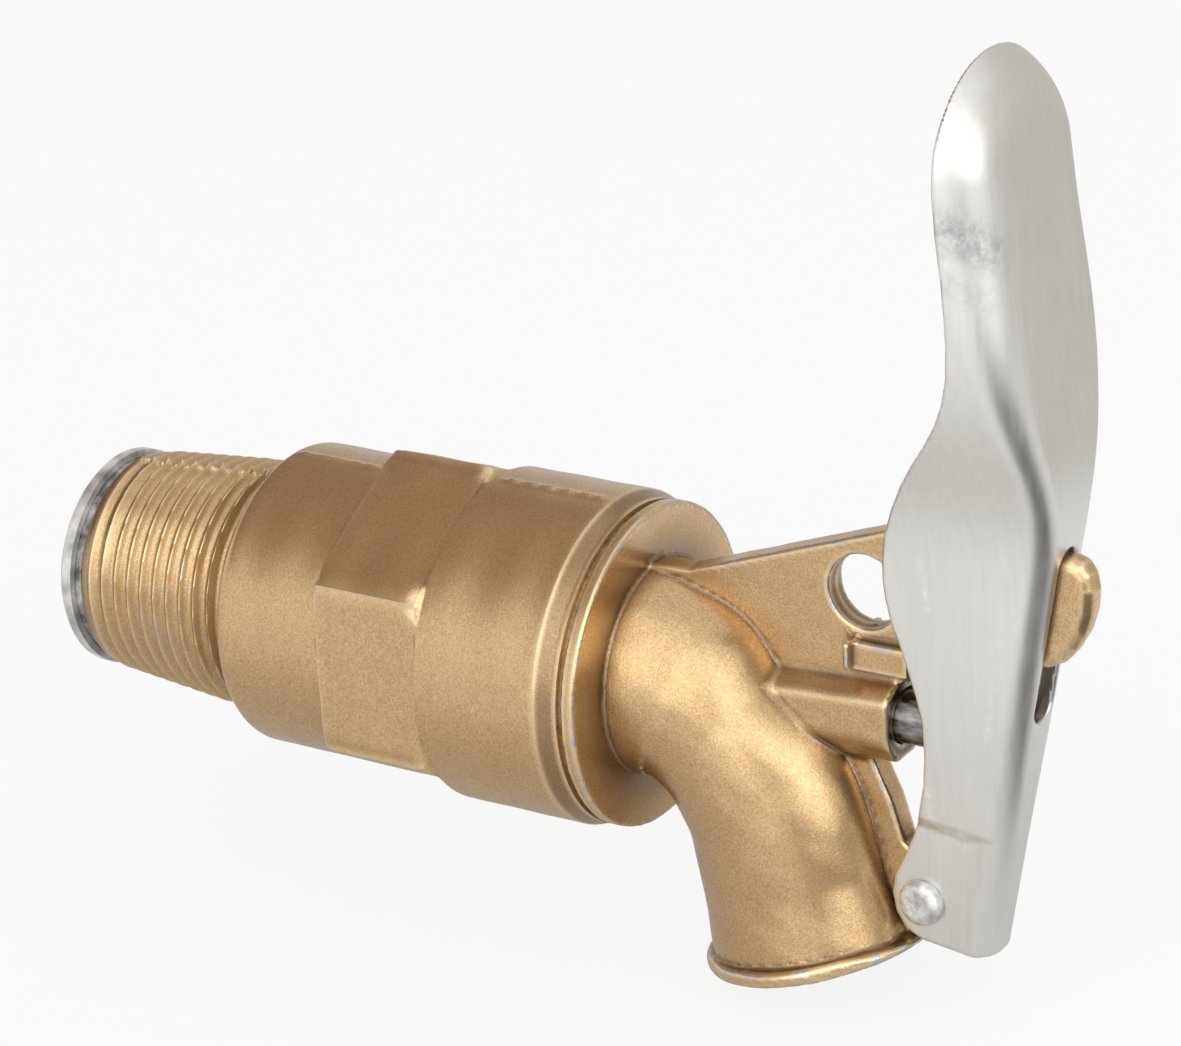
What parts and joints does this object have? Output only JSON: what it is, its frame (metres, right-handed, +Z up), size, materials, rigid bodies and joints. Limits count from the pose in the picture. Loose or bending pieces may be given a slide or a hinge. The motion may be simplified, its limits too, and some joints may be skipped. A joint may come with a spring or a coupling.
{
  "type": "drum tap",
  "caption": "Self-closing drum tap with a threaded inlet, hexagon, downturned spout, padlock web and a spoon-shaped push handle.",
  "frame": {"origin": "on the axis of the barrel, where the inlet thread ends and the shoulder starts", "axes": "+X along the barrel from the drum to the handle, +Z up to the handle's thumb end, +Y to the left of someone who looks along +X; the XZ plane is the plane of symmetry"},
  "size_m": [0.1222, 0.0348, 0.0992],
  "materials": {
    "gold_finish": "bronze-gold metallic lacquer on zinc castings",
    "handle_metal": "satin, finely brushed",
    "rivet_metal": "bright",
    "stem_steel": "dark, turned",
    "bright_steel": "bright zinc plated",
    "black_rubber": "matt"
  },
  "bodies": {
    "tap_body": {"inlet_body": "gold_finish", "body_gasket": "black_rubber", "spout_body": "gold_finish", "stem_guide_plate": "bright_steel", "closing_spring": "bright_steel"},
    "stem": {"valve_stem": "stem_steel", "valve_cup": "bright_steel", "valve_gasket": "black_rubber", "gasket_backing_washer": "bright_steel", "valve_lock_washer": "bright_steel", "valve_nut": "bright_steel", "spring_washer": "bright_steel", "stem_clip": "bright_steel", "stem_o_ring": "black_rubber"},
    "handle": {"handle_lever": "handle_metal", "pivot_rivet": "rivet_metal"}
  },
  "joints": [
    {"name": "handle_pivot", "type": "hinge", "parent": "tap_body", "child": "handle", "pos_m": [0.0756, 0, -0.0184], "axis": [0, -1, 0], "range_deg": [0, 6.5], "stiffness_Nm_per_rad": 0.68, "springref_deg": -18.33},
    {"name": "stem_slide", "type": "slide", "parent": "tap_body", "child": "stem", "axis": [-1, 0, 0], "range_m": [0, 0.0021], "deforming": ["closing_spring"]}
  ],
  "couplings": [
    {"joint": "stem_slide", "follows": "handle_pivot", "m_per_rad": 0.0184}
  ]
}
